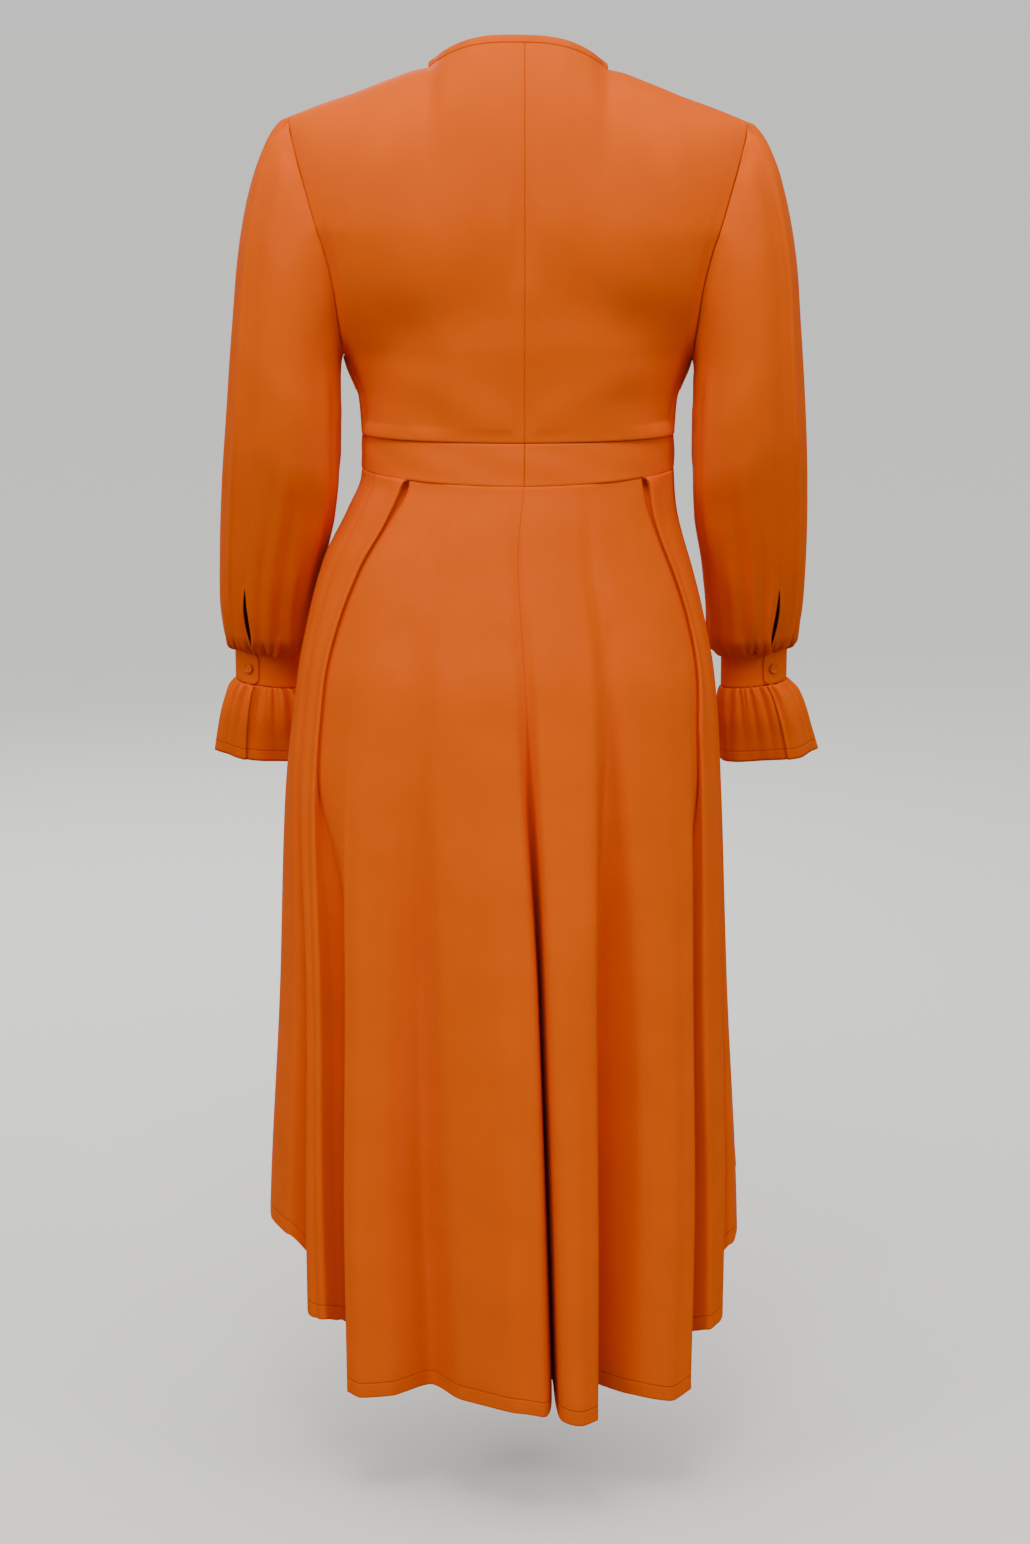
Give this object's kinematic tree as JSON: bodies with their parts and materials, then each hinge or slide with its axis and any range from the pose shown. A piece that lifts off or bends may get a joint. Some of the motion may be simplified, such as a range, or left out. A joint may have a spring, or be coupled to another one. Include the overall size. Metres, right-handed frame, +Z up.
{
  "type": "pleated midi dress",
  "caption": "Long-sleeved midi dress in worn shape: V-neck bodice, fitted waistband, fluted skirt with a hem that drops at the back, bishop sleeves with buttoned cuffs and ruffles",
  "frame": {"origin": "midway between the two points where the neck binding crosses the shoulders, on the line along the top of the shoulders", "axes": "+Z up the body, +Y out of the wearer's back, +X to the wearer's left; the front faces -Y"},
  "size_m": [0.6346, 0.3719, 1.3654],
  "materials": {
    "crepe": "smooth matte double-knit crepe, dyed burnt orange",
    "binding": "folded strip of the same crepe",
    "button": "plastic dyed to match the cloth, satin"
  },
  "bodies": {
    "root": {"bodice_back_left": "crepe", "bodice_back_right": "crepe", "bodice_front": "crepe", "waistband_back_left": "crepe", "waistband_back_right": "crepe", "waistband_front": "crepe", "skirt_back_left": "crepe", "skirt_back_right": "crepe", "skirt_front": "crepe", "sleeve_left": "crepe", "sleeve_right": "crepe", "cuff_left": "crepe", "cuff_right": "crepe", "ruffle_left": "crepe", "ruffle_right": "crepe", "neck_band": "binding", "button_left": "button", "button_right": "button"}
  },
  "joints": []
}
